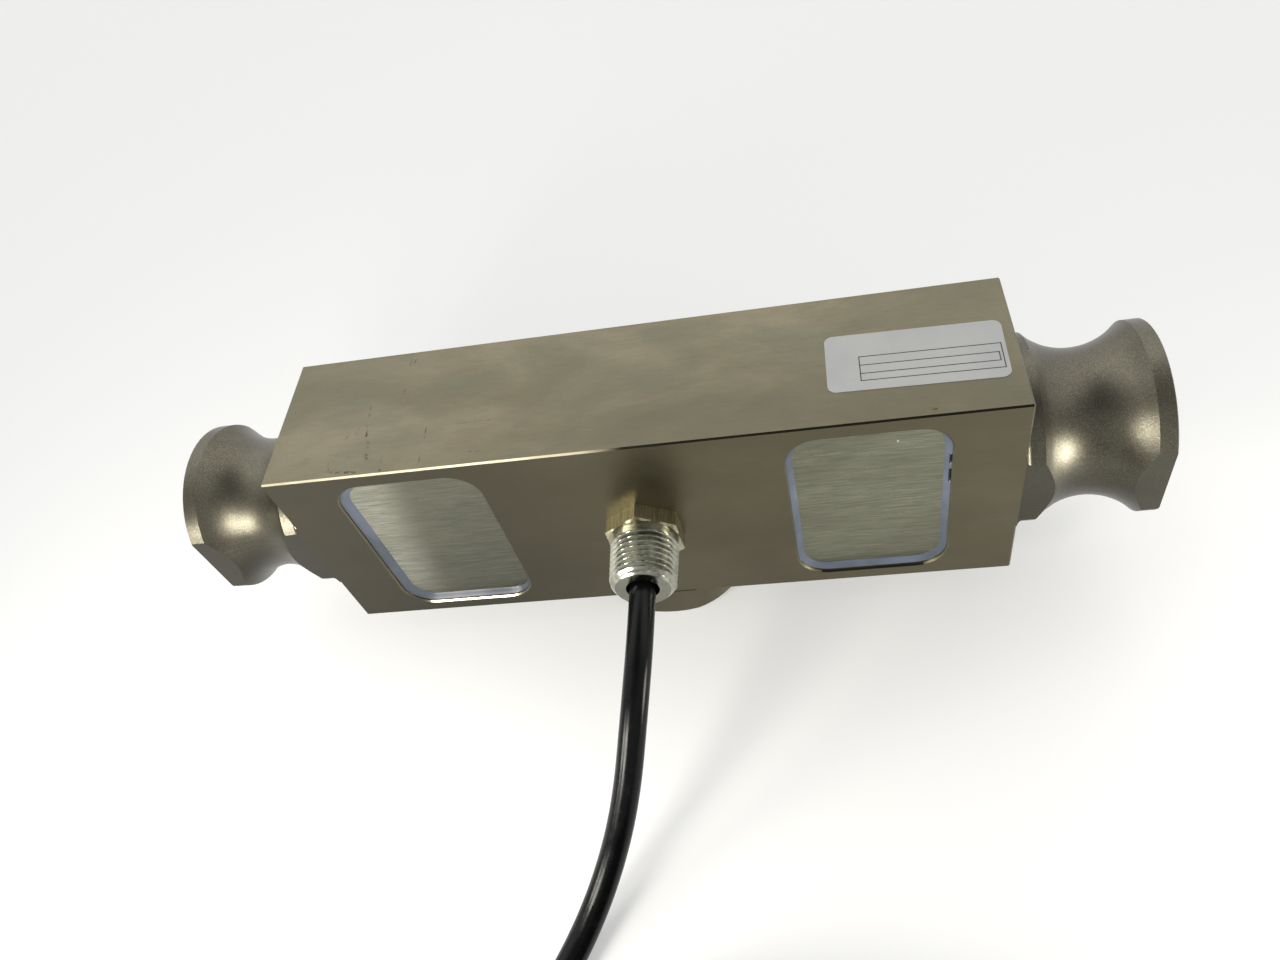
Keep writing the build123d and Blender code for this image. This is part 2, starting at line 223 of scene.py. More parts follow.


# Block: clouded plating with a lengthwise grain, painted shade on the front (darker to the left) and on
# the top's front right, and a painted highlight and painted dark reflection along its upper front edge
def block_color(t, patches, grain, fine):
    x = t.axis("X")
    clouds = t.noise(34, 4, 0.6, stretch=(0.5, 1, 1), twist=0.5)
    brown = t.noise(22, 3, 0.6, stretch=(0.7, 1, 1), twist=0.6)
    color = t.blend(t.band(clouds, 0.34, 0.68), rgb(106, 102, 84), rgb(125, 118, 99))
    color = t.blend(t.band(patches, 0.42, 0.72, 0, 0.5), color, rgb(110, 111, 95))
    color = t.blend(t.band(brown, 0.52, 0.72, 0, 0.45), color, rgb(116, 102, 81))
    color = t.blend(t.band(grain, 0.4, 0.75, 0, 0.16), color, rgb(84, 80, 65))
    color = t.blend(t.band(fine, 0.5, 0.75, 0, 0.22), color, rgb(84, 80, 66))
    front = t.band(t.facing((0, -1, 0)), 0.6, 0.95)
    painted_left_shade = t.math("MULTIPLY", front, t.band(x, 0.03, -0.07, 0, 0.85))
    # Painted shade: the front face darker, more so towards its left end
    color = t.blend(t.math("MULTIPLY", front, 0.65), color, rgb(84, 78, 59))
    color = t.blend(painted_left_shade, color, rgb(55, 52, 42))
    top = t.band(t.facing((0, 0, 1)), 0.9, 0.99)
    # Painted shade on the top face towards its front right
    painted_top_shade = t.math("MULTIPLY", t.band(t.axis("Y"), 0.014, -0.018), t.band(x, -0.07, 0.03, 0, 0.4))
    color = t.blend(t.math("MULTIPLY", top, painted_top_shade), color, rgb(84, 81, 67))
    color = t.blend(t.math("MULTIPLY", top, top_smudges(t)), color, rgb(58, 54, 44))
    # Painted highlight on the upper front edge's left part, painted dark reflection on its right part
    edge = t.band(t.facing(broken_edge_way), 0.97, 0.99)
    painted_edge_highlight_and_shade = t.blend(t.band(x, -0.012, 0.002), rgb(214, 206, 180), rgb(38, 35, 28))
    return t.blend(edge, color, painted_edge_highlight_and_shade)


# Turned ends: satin with fine sparkle, with painted shade where they face down to the front
def satin_color(t):
    satin = t.blend(t.band(t.noise(60, 3), 0.35, 0.65), rgb(86, 83, 73), rgb(98, 95, 84))
    sparkle = t.noise(2600, 2, 0.8)
    satin = t.blend(t.band(sparkle, 0.45, 0.65, 0, 0.35), satin, rgb(150, 144, 126))
    # Painted shade where the ends face down to the front, stronger in the left half
    painted_low_shade = t.band(t.facing(painted_shade_way), 0.25, 0.9)
    painted_low_shade = t.math("MULTIPLY", painted_low_shade, t.band(t.axis("X"), 0.05, -0.05, 0.6, 0.92))
    return t.blend(painted_low_shade, satin, rgb(50, 48, 42))


def plated_steel():
    t = Tree("plated_steel")
    out_from_middle = t.math("ABSOLUTE", t.axis("X"))
    on_end = t.band(out_from_middle, block_length / 2 - look_change, block_length / 2 + look_change)
    patches = t.noise(95, 4, 0.65, stretch=(0.5, 1, 1), twist=0.3)
    grain = t.noise(900, 3, 0.7, stretch=(0.12, 1, 1))
    fine = t.noise(2400, 2, 0.7, stretch=(0.4, 1, 1))
    color = t.blend(on_end, block_color(t, patches, grain, fine), satin_color(t))
    block_rough = t.band(patches, 0.3, 0.7, 0.31, 0.4)
    rough = t.node("ShaderNodeMix", {"Factor": on_end, "A": block_rough, "B": 0.34}, data_type="FLOAT")
    height = t.math("ADD", t.math("MULTIPLY", grain, 0.6), t.math("MULTIPLY", fine, 0.4))
    ground = t.bump(height, 0.03 * mm, 0.5)
    blasted = t.bump(t.noise(1800, 3, 0.75), 0.06 * mm, 0.8)
    normal = t.node("ShaderNodeMix", {"Factor": on_end, 4: ground, 5: blasted}, data_type="VECTOR")
    return t.set(color=color, metal=0.9, rough=rough.outputs["Result"], normal=normal.outputs[1])


# Dark handling marks on the top face: start and end in millimetres, half width, strength
top_marks = [
    (-81.5, 4.9, -80.6, -3.6, 0.35, 0.55),
    (-80.5, -5.5, -79.5, -12.4, 0.55, 0.95),
    (-79.0, -12.0, -78.0, -14.8, 0.8, 0.5),
    (-78.3, -17.1, -77.7, -19.2, 0.9, 0.9),
    (-60.5, -7.9, -60.2, -14.1, 0.35, 0.75),
    (-60.4, -19.7, -60.2, -24.8, 0.3, 0.7),
    (-69.2, 24.3, -70.2, 18.3, 0.45, 0.7),
    (-71.2, 23.3, -71.3, 18.0, 0.35, 0.55),
    (-70.7, 10.0, -70.9, 4.8, 0.35, 0.5),
    (-56.1, -8.9, -33.0, -8.6, 0.35, 0.4),
    (-46.5, -20.3, -40.2, -20.7, 0.4, 0.4),
    (-90.5, -22.6, -77.5, -24.2, 0.8, 0.8),
    (-73.2, -23.9, -72.2, -24.0, 0.7, 0.9),
    (-90.2, -18.5, -88.9, -23.4, 0.35, 0.4),
    (-72.8, -17.2, -72.4, -23.3, 0.4, 0.35),
    (-86.5, -10.1, -85.5, -7.7, 0.8, 0.5),
    (-83.5, -8.7, -83.1, -6.1, 0.7, 0.45),
    (-92.6, -15.5, -80.2, -18.2, 0.4, 0.3),
    (85.7, -23.0, 86.5, -23.0, 0.6, 0.9),
]


def top_smudges(t):
    rag = t.noise(800, 3, 0.7)
    total = None
    for x0, y0, x1, y1, half_width, strength in top_marks:
        half_length = math.hypot(x1 - x0, y1 - y0) / 2 + half_width
        inputs = {
            "Vector": t.coordinates,
            "Location": ((x0 + x1) / 2 * mm, (y0 + y1) / 2 * mm, top_z),
            "Rotation": (0, 0, math.atan2(y1 - y0, x1 - x0)),
            "Scale": (half_length * mm, half_width * mm, 1.0),
        }
        local = t.node("ShaderNodeMapping", inputs, vector_type="TEXTURE").outputs["Vector"]
        far = t.node("ShaderNodeVectorMath", {0: local}, operation="LENGTH").outputs["Value"]
        mark = t.band(far, 1.0, 0.3, 0.0, strength)
        total = mark if total is None else t.math("MAXIMUM", total, mark)
    return t.math("MULTIPLY", total, t.band(rag, 0.42, 0.56), clamp=True)


# Cover plates: brushed along the beam, the left ones darker by painted shade with a painted sheen over
# their left third, and one pale speck
speck_place = (76.55 * mm, -22.9 * mm, 78.25 * mm)
painted_sheen_slant = 0.12


def cover_steel():
    t = Tree("cover_steel")
    strokes = t.noise(1400, 4, 0.75, stretch=(0.05, 1, 1), twist=0.2)
    waves = t.noise(300, 3, 0.6, stretch=(0.12, 1, 1), twist=0.6)
    tone = t.noise(50, 3, 0.5, stretch=(0.4, 1, 1))
    bright = t.blend(t.band(strokes, 0.35, 0.7), rgb(118, 119, 101), rgb(146, 146, 129))
    # Painted shade: the left plates darker than the right ones
    hex_tone_and_left_shade = t.blend(t.band(strokes, 0.35, 0.7), rgb(78, 79, 69), rgb(99, 99, 89))
    # Painted sheen over the left plates' left third
    painted_sheen = t.blend(t.band(strokes, 0.35, 0.7), rgb(112, 113, 103), rgb(162, 162, 150))
    ragged = t.math("MULTIPLY_ADD", strokes, 0.012, -0.006)
    slanted = t.math("MULTIPLY_ADD", t.axis("Z"), -painted_sheen_slant, painted_sheen_slant * axis_height)
    along = t.math("ADD", t.math("ADD", t.axis("X"), ragged), slanted)
    hex_tone_and_left_shade = t.blend(t.band(along, -0.07, -0.085), hex_tone_and_left_shade, painted_sheen)
    color = t.blend(in_left_half(t), bright, hex_tone_and_left_shade)
    color = t.blend(t.band(tone, 0.4, 0.65, 0, 0.3), color, rgb(108, 106, 90))
    speck = t.band(t.distance(speck_place), 0.42 * mm, 0.25 * mm)
    color = t.blend(speck, color, rgb(214, 212, 198))
    rough = t.band(waves, 0.3, 0.7, 0.25, 0.33)
    height = t.math("ADD", strokes, t.math("MULTIPLY", waves, 0.5))
    across = t.node("ShaderNodeCombineXYZ", {"Z": 1.0}).outputs[0]
    normal = t.bump(height, 0.04 * mm, 0.5)
    return t.set(color=color, metal=0.95, rough=rough, normal=normal, tangent=across, anisotropic=0.85)


# Sealant: slightly glossy, with painted shade that makes it darker in the left half
def sealant_material():
    t = Tree("sealant")
    tone = t.noise(60, 2, 0.5)
    pale = t.blend(t.band(tone, 0.35, 0.7), rgb(84, 93, 107), rgb(105, 114, 133))
    # Painted shade: a darker copy of the sealant for the left half
    painted_shade_sealant = t.blend(t.band(tone, 0.35, 0.7), rgb(64, 71, 84), rgb(84, 92, 108))
    color = t.blend(in_left_half(t), pale, painted_shade_sealant)
    normal = t.bump(t.noise(260, 2, 0.5), 0.15 * mm, 0.3)
    return t.set(color=color, rough=0.36, normal=normal, coat=0.12, coat_rough=0.3)


# Fitting: bright thread, painted shade on the tip's end, hexagon with a grain along its axis
def fitting_material():
    t = Tree("plated_fitting")
    grain = t.noise(1500, 2, 0.6, stretch=(1, 0.06, 1))
    tone = t.noise(220, 3, 0.6)
    along = t.axis("Y")
    on_hex = t.band(along, hex_end_y - look_change, hex_end_y + look_change)
    painted_tip_shade = t.band(along, fitting_end_y + look_change, fitting_end_y)
    bright = t.blend(t.band(tone, 0.35, 0.65), rgb(146, 146, 134), rgb(176, 176, 164))
    # Painted shade on the tip's end face
    bright = t.blend(t.math("MULTIPLY", painted_tip_shade, 0.8), bright, rgb(112, 112, 102))
    hex_tone_and_left_shade = t.blend(t.band(grain, 0.35, 0.65), rgb(162, 155, 126), rgb(196, 188, 158))
    color = t.blend(on_hex, bright, hex_tone_and_left_shade)
    rough = t.node("ShaderNodeMix", {"Factor": on_hex, "A": 0.2, "B": 0.38}, data_type="FLOAT")
    normal = t.bump(t.math("MULTIPLY", grain, on_hex), 0.02 * mm, 0.4)
    return t.set(color=color, metal=1.0, rough=rough.outputs["Result"], normal=normal)


def cable_material():
    t = Tree("cable_jacket")
    scuffs = t.noise(240, 4, 0.7, twist=0.5)
    color = t.blend(t.band(scuffs, 0.55, 0.8, 0, 0.5), rgb(8, 9, 10), rgb(26, 27, 28))
    rough = t.band(scuffs, 0.3, 0.75, 0.16, 0.3)
    normal = t.bump(t.noise(900, 3), 0.05 * mm, 0.25)
    return t.set(color=color, rough=rough, normal=normal, ior=1.27)


def plain_material(name, low, high, scale, rough=(0.4, 0.6), depth=0.05 * mm):
    t = Tree(name)
    tone = t.noise(scale, 4, 0.6)
    color = t.blend(t.band(tone, 0.3, 0.7), rgb(*low), rgb(*high))
    normal = t.bump(t.noise(scale * 6, 3), depth, 0.4)
    return t.set(color=color, metal=0.0, rough=t.band(tone, 0.3, 0.7, *rough), normal=normal)


materials = {
    "plated_steel": plated_steel(),
    "cover_steel": cover_steel(),
    "sealant": sealant_material(),
    "plated_fitting": fitting_material(),
    "cable_jacket": cable_material(),
}
plain_looks = {
    "gauge_film": ((164, 110, 38), (186, 132, 56), 400),
    "lead_sleeve": ((196, 186, 160), (214, 206, 184), 300),
    "board": ((22, 84, 46), (34, 104, 58), 260),
    "pad_foam": ((48, 48, 50), (64, 64, 66), 900, (0.8, 0.95), 0.2 * mm),
    "resistor": ((22, 22, 24), (40, 40, 42), 600),
    "seal_rubber": ((18, 18, 18), (30, 30, 30), 500, (0.5, 0.7)),
    "tie_plastic": ((24, 24, 25), (38, 38, 40), 500, (0.35, 0.5)),
    "shrink_sleeve": ((16, 16, 17), (26, 26, 27), 240, (0.4, 0.55)),
    "label_film": ((166, 167, 167), (176, 176, 175), 60, (0.3, 0.42), 0.01 * mm),
    "label_ink": ((28, 26, 26), (44, 42, 42), 900, (0.4, 0.5), 0.01 * mm),
    "core_red": ((150, 22, 20), (172, 34, 28), 500, (0.3, 0.45)),
    "core_black": ((22, 22, 22), (36, 36, 36), 500, (0.3, 0.45)),
    "core_green": ((24, 104, 48), (36, 124, 60), 500, (0.3, 0.45)),
    "core_white": ((206, 204, 198), (222, 220, 214), 500, (0.3, 0.45)),
    "core_bare": ((150, 140, 120), (190, 180, 160), 500, (0.3, 0.45)),
}
for look, values in plain_looks.items():
    materials[look] = plain_material(look, *values)
materials["core_insulation"] = materials["lead_sleeve"]

# Materials for the solids, with smooth shading up to a sharp angle
solid_sharp_angle = math.radians(28)
slot_of = {row["node"]: row["material_slot"] for row in frame["record"]["subparts"]}
for name, node in nodes.items():
    node.data.materials.clear()
    node.data.materials.append(materials[slot_of[name]])
    node.data.polygons.foreach_set("use_smooth", [True] * len(node.data.polygons))
    node.data.set_sharp_from_angle(angle=solid_sharp_angle)


# A new piece on the body root
def make_piece(name, verts, faces, slot, *replaced, sharp):
    mesh = bpy.data.meshes.new(name)
    mesh.from_pydata([tuple(v) for v in verts], [], faces)
    mesh.validate()
    mesh.update()
    piece = bpy.data.objects.new(name, mesh)
    bpy.context.scene.collection.objects.link(piece)
    mesh.materials.append(materials[slot])
    mesh.polygons.foreach_set("use_smooth", [True] * len(mesh.polygons))
    mesh.set_sharp_from_angle(angle=math.radians(sharp))
    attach(piece, "root")
    if replaced:
        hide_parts(*replaced)
    return piece


# A closed grid of rings: each ring joins the next, and the last joins the first
def ring_faces(rings, count):
    faces = []
    for i in range(rings):
        for j in range(count):
            a = i * count + j
            b = i * count + (j + 1) % count
            c = (i + 1) % rings * count + (j + 1) % count
            d = (i + 1) % rings * count + j
            faces.append((a, b, c, d))
    return faces


# Cable fitting: hexagon with turned corners, taper thread as a true helix, outlet bore
around = 216
hex_turn = math.radians(2.8)
hex_chamfer = math.radians(12)
hex_steps = 12
thread_steps = 190
thread_root_share = 0.06
thread_slope_share = 0.86
thread_height = 0.72 * thread_pitch
thread_start_length = 0.8 * mm
thread_start_end = 2 * mm
base_dish = 0.2 * mm
# The outlet's lip and bore: by how much it is wider, and how far in
outlet_steps = ((0.5 * mm, 0.0), (0.15 * mm, 0.1 * mm), (0.0, 0.4 * mm), (0.0, 6 * mm))


def hex_radius(angle):
    sixth = math.radians(60)
    off = (angle + hex_turn) % sixth - sixth / 2
    return hex_across_flats / 2 / math.cos(off)


def thread_radius(along, angle):
    crest = thread_diameter / 2 - thread_taper / 2 * (along - hex_height)
    root = crest - thread_height
    turn = (along / thread_pitch + angle / (2 * math.pi)) % 1.0
    ridge = 1 - abs(2 * turn - 1)
    ridge = min(max((ridge - thread_root_share) / thread_slope_share, 0.0), 1.0)
    outer = root + (crest - root) * ridge
    if along < hex_height + thread_start_end:
        neck = thread_diameter / 2 - thread_depth
        start = (along - hex_height - thread_relief_length) / thread_start_length
        outer = neck + (outer - neck) * min(max(start, 0.0), 1.0)
    end_chamfer = fitting_end_diameter / 2 + (hex_height + thread_length - along)
    return min(outer, end_chamfer)


def make_fitting():
    verts = []
    cone = math.tan(hex_chamfer)
    inner = outlet_diameter / 2
    end = hex_height + thread_length

    def add(radius_at, along):
        for j in range(around):
            angle = 2 * math.pi * j / around
            r = radius_at(angle)
            verts.append((r * math.sin(angle), front_y - along, axis_height + r * math.cos(angle)))

    add(lambda a: inner, base_dish)
    for i in range(hex_steps + 1):
        along = hex_height * i / hex_steps
        edge = hex_across_flats / 2 + (hex_height - along) / cone
        add(lambda a: min(hex_radius(a), edge), along)
    add(lambda a: thread_diameter / 2 - thread_depth, hex_height)
    for i in range(thread_steps + 1):
        along = hex_height + (end - hex_height) * i / thread_steps
        add(lambda a: thread_radius(along, a), along)
    for wider, depth in outlet_steps:
        add(lambda a: inner + wider, end - depth)
    faces = ring_faces(len(verts) // around, around)
    return make_piece("threaded_fitting", verts, faces, "plated_fitting", "cable_fitting", sharp=24.0)


make_fitting()


# Sealant: a soft bead that runs round each recess and laps over the plate's edge
def round_rectangle(width, height, corner, steps):
    points = []
    for index, (side_x, side_z) in enumerate(((1, 1), (-1, 1), (-1, -1), (1, -1))):
        centre_x = side_x * (width / 2 - corner)
        centre_z = side_z * (height / 2 - corner)
        for i in range(steps + 1):
            turn = math.radians(90 * index + 90 * i / steps)
            points.append((centre_x + corner * math.cos(turn), centre_z + corner * math.sin(turn)))
    return points


def spread_evenly(points, count):
    closed = points + [points[0]]
    lengths = [0.0]
    for a, b in zip(closed, closed[1:]):
        lengths.append(lengths[-1] + math.dist(a, b))
    total = lengths[-1]
    out = []
    k = 0
    for i in range(count):
        target = total * i / count
        while lengths[k + 1] < target:
            k += 1
        share = (target - lengths[k]) / (lengths[k + 1] - lengths[k])
        a, b = closed[k], closed[k + 1]
        out.append((a[0] + (b[0] - a[0]) * share, a[1] + (b[1] - a[1]) * share))
    return out


# Where the right bead has come away from the wall: from and to, above the plate's middle
torn_places = ((7.5 * mm, 13.5 * mm), (15.8 * mm, 19.9 * mm))
torn_slope = 0.6 * mm
torn_points = 3
torn_side = 0.49 * recess_width


def torn(u, w):
    if u < torn_side:
        return 0.0
    return max(min(max(min(w - low, high - w) / torn_slope, 0.0), 1.0) for low, high in torn_places)


# Points across the bead's skin, stations round it, how uneven it is and how it meets wall and plate
skin_points = 10
bead_stations = 420
corner_steps = 16
ripple_scale = 60
ripple_height = 0.12 * mm
fine_ripple_height = 0.05 * mm
skin_dip = 0.16 * mm
skin_hollow = 1.15
least_lap = 0.06 * mm
lip_thickness = 0.01 * mm
lip_slope = 0.04 * mm
lip_depth = 0.08 * mm
wall_clearance = 0.01 * mm
plate_clearance = 0.02 * mm
bead_foot = cover_sunk + 0.9 * cover_thickness


# The bead's section, from the wall inwards: skin, lip on the plate, and down beside the plate
def bead_section(width, high, plate_edge, gap):
    section = []
    for k in range(skin_points - 1):
        share = k / (skin_points - 1)
        dip = skin_dip * math.sin(math.pi * share)
        depth = high + (cover_sunk - high) * share ** skin_hollow + dip * (1 - share)
        if k < torn_points:
            depth += (cover_sunk - depth) * gap
        section.append((share * width, depth))
    section.append((width, cover_sunk - lip_thickness))
    section.append((width - lip_slope, cover_sunk + lip_slope))
    section.append((plate_edge - plate_clearance, cover_sunk + lip_depth))
    section.append((plate_edge - plate_clearance, bead_foot))
    section.append((0.0, bead_foot))
    return section


# The seed is another one for each bead, so that no two are uneven in the same way
def make_sealant(place, side, x, shift, lap):
    outline = round_rectangle(recess_width, recess_height, recess_corner, corner_steps)
    wall = spread_evenly(outline, bead_stations)
    verts = []
    for i, (u, w) in enumerate(wall):
        after = wall[(i + 1) % bead_stations]
        before = wall[i - 1]
        way = Vector((after[0] - before[0], after[1] - before[1])).normalized()
        inward = Vector((-way.y, way.x))
        seed = Vector((u * ripple_scale + side * 3 + x * 40, w * ripple_scale, 0.3))
        reach = lap(w) + ripple_height * noise.noise(seed) + fine_ripple_height * noise.noise(seed * 5)
        plate_edge = cover_gap + shift * inward.x
        width = plate_edge + max(reach, least_lap)
        high = bead_top + ripple_height * noise.noise(seed * 1.7 + Vector((5, 0, 0)))
        gap = torn(u, w) if place == "front_right" else 0.0
        for inwards, depth in bead_section(width, high, plate_edge, gap):
            p = Vector((u, w)) + inward * (inwards + wall_clearance)
            verts.append((x + p.x, side * (block_width / 2 - depth), axis_height + p.y))
    faces = ring_faces(bead_stations, len(verts) // bead_stations)
    if side < 0:
        faces = [tuple(reversed(f)) for f in faces]
    return make_piece("sealant_" + place, verts, faces, "sealant", "sealant_bead_" + place, sharp=80.0)


# How far each bead laps over its plate's edge
usual_lap = 0.25 * mm
wide_lap = 0.3 * mm
thin_lap = 0.08 * mm
thin_start = 0.42 * recess_height


def thin_at_top(w):
    return wide_lap if w < thin_start else thin_lap


def even_lap(w):
    return usual_lap


make_sealant("front_left", -1, -recess_x, front_left_cover_shift, even_lap)
make_sealant("front_right", -1, recess_x, 0.0, thin_at_top)
make_sealant("back_left", 1, -recess_x, 0.0, even_lap)
make_sealant("back_right", 1, recess_x, 0.0, even_lap)

# Label: an empty ruled table on the white film
line_width = 0.28 * mm
ink_height = 0.02 * mm
ink_depth = 0.01 * mm
# Each line from and to, in millimetres from the label's middle
table_lines = [
    (-15.0, 1.8, 23.1, 1.8),
    (-15.0, -1.5, 22.2, -1.5),
    (-15.0, -4.7, 22.2, -4.7),
    (-15.0, -7.4, 23.1, -7.4),
    (-15.0, 1.8, -15.0, -7.4),
    (22.2, -1.5, 22.2, -4.7),
    (23.1, 1.8, 23.1, -7.4),
]


def make_table():
    verts = []
    faces = []
    low = top_z + label_thickness - ink_depth
    high = top_z + label_thickness + ink_height
    turn = Matrix.Rotation(label_turn, 2)
    half = line_width / 2
    for ax, ay, bx, by in table_lines:
        x0, x1 = min(ax, bx) * mm - half, max(ax, bx) * mm + half
        y0, y1 = min(ay, by) * mm - half, max(ay, by) * mm + half
        start = len(verts)
        for z in (low, high):
            for px, py in ((x0, y0), (x1, y0), (x1, y1), (x0, y1)):
                q = turn @ Vector((px, py))
                verts.append((label_x + q.x, label_y + q.y, z))
        box = ((3, 2, 1, 0), (4, 5, 6, 7), (0, 1, 5, 4), (1, 2, 6, 5), (2, 3, 7, 6), (3, 0, 4, 7))
        faces += [tuple(start + k for k in f) for f in box]
    return make_piece("label_table", verts, faces, "label_ink", sharp=30.0)


make_table()


# Cable: from the fitting to the coil, through its turns and over it to the end, in millimetres and degrees
turn_radii = (69.5, 61.2, 52.8, 44.5)
layer_heights = (4.0, 12.02, 20.04, 28.06)
turn_step = 20.0
coil_start_angle = 150.0
shift_span = 45.0
layer_lag = 90.0
least_run = 200.0
tail_rise_angle = 165.0
tail_end_angle = 252.0
tail_shift_span = 50.0
tail_climb_span = 31.25
tail_height = 36.7
top_turn_radius = 66.2
tail_radius = 57.0
chord_share = 0.75


def around_coil(radius, angle, z):
    turn = math.radians(angle)
    return (coil_x / mm + radius * math.cos(turn), coil_y / mm + radius * math.sin(turn), z)


def ease(value, start, span):
    share = min(max((value - start) / span, 0.0), 1.0)
    return share * share * (3 - 2 * share)


# The next angle at the given place of the circle, after a run of least_run
def next_at(place, angle):
    least = angle + least_run
    return least + (place - least) % 360


# Where each turn shifts beside the last one, and where each layer climbs onto the one below
def coil_moves():
    moves = []
    angle = coil_start_angle
    for layer in range(len(layer_heights)):
        last_shift = coil_start_angle - layer_lag * layer
        order = turn_radii if layer % 2 == 0 else turn_radii[::-1]
        for radius in order[1:]:
            start = next_at(last_shift - shift_span, angle)
            moves.append((start, "radius", radius))
            angle = start + shift_span
        if layer + 1 < len(layer_heights):
            start = next_at(last_shift - 2 * shift_span, angle)
            moves.append((start, "height", layer_heights[layer + 1]))
            angle = start + shift_span
    return moves


def wind(angle, moves):
    radius = turn_radii[0]
    height = layer_heights[0]
    for start, kind, value in moves:
        share = ease(angle, start, shift_span)
        if kind == "radius":
            radius += (value - radius) * share
        else:
            height += (value - height) * share
    return radius, height


# The last turn lies on the coil's top near its rim, then shifts in to the tail's place
def coil_points():
    moves = coil_moves()
    last_move_end = moves[-1][0] + shift_span
    rise_start = last_move_end + (tail_rise_angle - last_move_end) % 360
    inward_start = rise_start + 360 - tail_shift_span
    end = rise_start + 360 + (tail_end_angle - tail_rise_angle) % 360
    steps = round((end - coil_start_angle) / turn_step)
    shrink = math.cos(math.radians(turn_step / 2)) ** chord_share
    points = []
    for i in range(1, steps + 1):
        angle = coil_start_angle + (end - coil_start_angle) * i / steps
        radius, height = wind(angle, moves)
        radius += (top_turn_radius - radius) * ease(angle, rise_start, tail_shift_span)
        radius += (tail_radius - radius) * ease(angle, inward_start, tail_shift_span)
        height += (tail_height - height) * ease(angle, rise_start, tail_climb_span)
        points.append(around_coil(radius / shrink, angle, height))
    return points


# The cable's control points from inside the outlet to the coil's first turn
route = [
    (0, -33.9, 51.55),
    (0, -60, 51.55),
    (-3, -82, 42.5),
    (-8, -102, 26),
    (-16, -118, 11),
    (-25.19, -135.56, 4),
    (-37.19, -156.34, 4),
    (-46.5, -172.5, 4),
    (-56.19, -189.25, 4),
]


def cord_curve(name, points, diameter, look, resolution):
    data = bpy.data.curves.new(name, "CURVE")
    data.dimensions = "3D"
    data.bevel_depth = diameter / 2
    data.bevel_resolution = 6
    data.resolution_u = resolution
    data.use_fill_caps = True
    spline = data.splines.new("NURBS")
    spline.points.add(len(points) - 1)
    for point, place in zip(spline.points, points):
        point.co = (place[0] * mm, place[1] * mm, place[2] * mm, 1.0)
    spline.order_u = 3
    spline.use_endpoint_u = True
    curve = bpy.data.objects.new(name, data)
    bpy.context.scene.collection.objects.link(curve)
    data.materials.append(materials[look])
    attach(curve, "root")
    return curve


# Cores: five in a circle where they leave the sleeve, then spread side by side on the coil
core_names = ("core_red", "core_black", "core_green", "core_white", "core_bare")
core_pitch = 2.1
core_circle = 2.4
core_start_angle = 248.0 + math.degrees(sleeve_length / coil_radius)
core_run_in = 6.0
# For each point of a core: how far along, how far spread, and how far above the coil's top
core_fan = ((0.3, 0.8, 1.2), (0.62, 1.0, 0.0), (1.0, 1.0, 0.0))
coil_top = 32.6


def core_points(index):
    turn = 2 * math.pi * index / len(core_names)
    sideways = (index - (len(core_names) - 1) / 2) * core_pitch
    arc = math.degrees(core_length / coil_radius)
    start_radius = coil_radius / mm + core_circle * math.sin(turn)
    start_z = coil_top + sleeve_diameter / mm / 2 + core_circle * math.cos(turn)
    low_z = coil_top + core_diameter / mm / 2
    points = [around_coil(start_radius, core_start_angle - core_run_in, start_z)]
    points.append(around_coil(start_radius, core_start_angle, start_z))
    for along, spread, rise in core_fan:
        radius = coil_radius / mm + sideways * spread
        points.append(around_coil(radius, core_start_angle + arc * along, low_z + rise))
    return points


def make_core(index, name):
    core = cord_curve(name, core_points(index), core_diameter, name, 10)
    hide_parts("cable_cores")
    return core


cores = [make_core(index, name) for index, name in enumerate(core_names)]
cable = cord_curve("cable", route + coil_points(), cable_diameter, "cable_jacket", 12)
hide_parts("cable_tube", "cable_coil")


# Floor, world and lamps. The world's brightness by height, behind the object and before it
world_behind = ((0.0, 0.9), (0.45, 1.4), (0.74, 1.75), (0.9, 1.5), (0.97, 0.2))
world_before = ((0.0, 0.3), (0.3, 0.45), (0.7, 0.55), (0.85, 0.25), (0.96, 0.1))
world_change = 0.35
floor_half = 6.0
floor_below = 0.2 * mm
floor_glow = 0.35


def make_floor():
    corners = [(x * floor_half, y * floor_half, 0) for x, y in ((-1, -1), (1, -1), (1, 1), (-1, 1))]
    mesh = bpy.data.meshes.new("floor")
    mesh.from_pydata(corners, [], [(0, 1, 2, 3)])
    floor = bpy.data.objects.new("floor", mesh)
    bpy.context.scene.collection.objects.link(floor)
    floor.location.z = -floor_below
    t = Tree("floor")
    material = t.set(color=(0.9, 0.9, 0.9, 1), rough=0.9)
    t.shader.inputs["Specular IOR Level"].default_value = 0.1
    path = t.node("ShaderNodeLightPath")
    seen = t.math("MAXIMUM", path.outputs["Is Camera Ray"], path.outputs["Is Glossy Ray"])
    seen = t.math("MAXIMUM", seen, path.outputs["Is Transmission Ray"])
    glow = t.node("ShaderNodeEmission", {"Color": (1, 1, 1, 1), "Strength": 1.0}).outputs[0]
    share = t.math("MULTIPLY", seen, floor_glow)
    mix = t.node("ShaderNodeMixShader", {0: share, 1: t.shader.outputs[0], 2: glow})
    output = t.tree.nodes["Material Output"]
    t.put(output.inputs["Surface"], mix.outputs[0])
    mesh.materials.append(material)


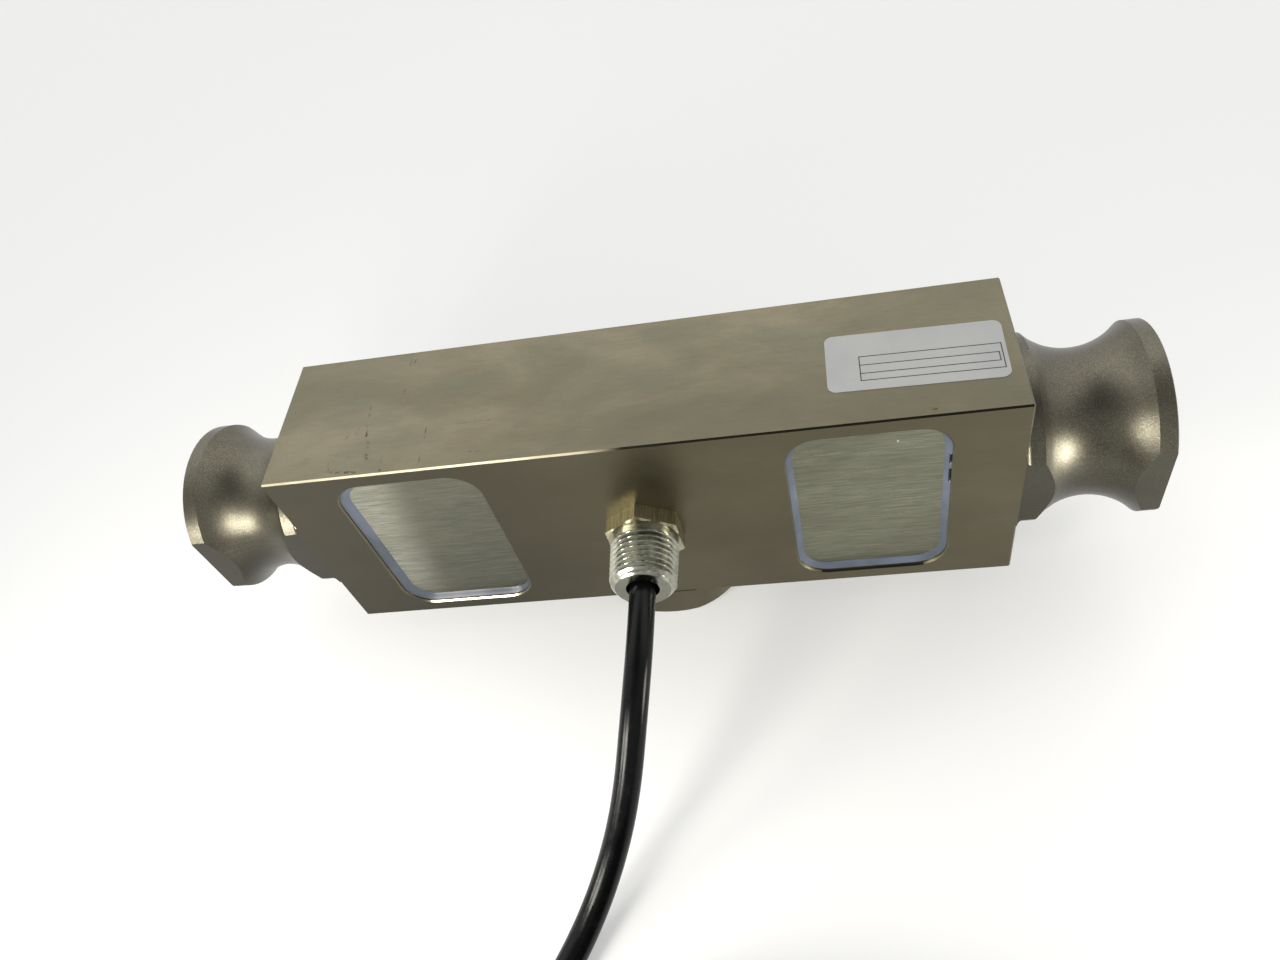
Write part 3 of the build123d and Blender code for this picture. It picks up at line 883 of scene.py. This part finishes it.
def make_world():
    world = bpy.data.worlds.new("world")
    bpy.context.scene.world = world
    world.use_nodes = True
    tree = world.node_tree
    direction = tree.nodes.new("ShaderNodeTexCoord").outputs["Generated"]
    split = tree.nodes.new("ShaderNodeSeparateXYZ")
    tree.links.new(direction, split.inputs[0])
    ramps = []
    for stops in (world_behind, world_before):
        ramp = tree.nodes.new("ShaderNodeValToRGB")
        tree.links.new(split.outputs["Z"], ramp.inputs[0])
        elements = ramp.color_ramp.elements
        for place, value in stops[2:]:
            elements.new(place)
        for element, (place, value) in zip(elements, stops):
            element.position = place
            element.color = (value, value, value * 0.98, 1)
        ramps.append(ramp.outputs[0])
    side = tree.nodes.new("ShaderNodeMapRange")
    side.interpolation_type = "SMOOTHSTEP"
    side.inputs["From Min"].default_value = -world_change
    side.inputs["From Max"].default_value = world_change
    tree.links.new(split.outputs["Y"], side.inputs["Value"])
    mix = tree.nodes.new("ShaderNodeMix")
    mix.data_type = "RGBA"
    tree.links.new(side.outputs["Result"], mix.inputs["Factor"])
    tree.links.new(ramps[1], mix.inputs[6])
    tree.links.new(ramps[0], mix.inputs[7])
    background = tree.nodes["Background"]
    tree.links.new(mix.outputs[2], background.inputs["Color"])


# Each lamp's place, what it points at, its size in metres and its power in watts
lamp_color = (1, 0.97, 0.88)
lamps = {
    "lamp_left": ((-0.135, -0.22, 0.15), (0.05, -0.02, 0.06), 0.08, 0.44),
    "lamp_far_left": ((-0.215, -0.18, 0.115), (-0.1, -0.02, 0.06), 0.07, 0.28),
    "lamp_right": ((0.29, -0.13, 0.04), (0.12, -0.02, 0.06), 0.09, 0.4),
}


def make_lamp(name, place, aim, size, power):
    data = bpy.data.lights.new(name, "AREA")
    data.shape = "DISK"
    data.size = size
    data.energy = power
    data.color = lamp_color
    lamp = bpy.data.objects.new(name, data)
    bpy.context.scene.collection.objects.link(lamp)
    lamp.location = place
    way = Vector(place) - Vector(aim)
    lamp.rotation_mode = "QUATERNION"
    lamp.rotation_quaternion = way.to_track_quat("Z", "Y")


make_floor()
make_world()
for name, settings in lamps.items():
    make_lamp(name, *settings)
bpy.context.scene.view_settings.view_transform = "Standard"
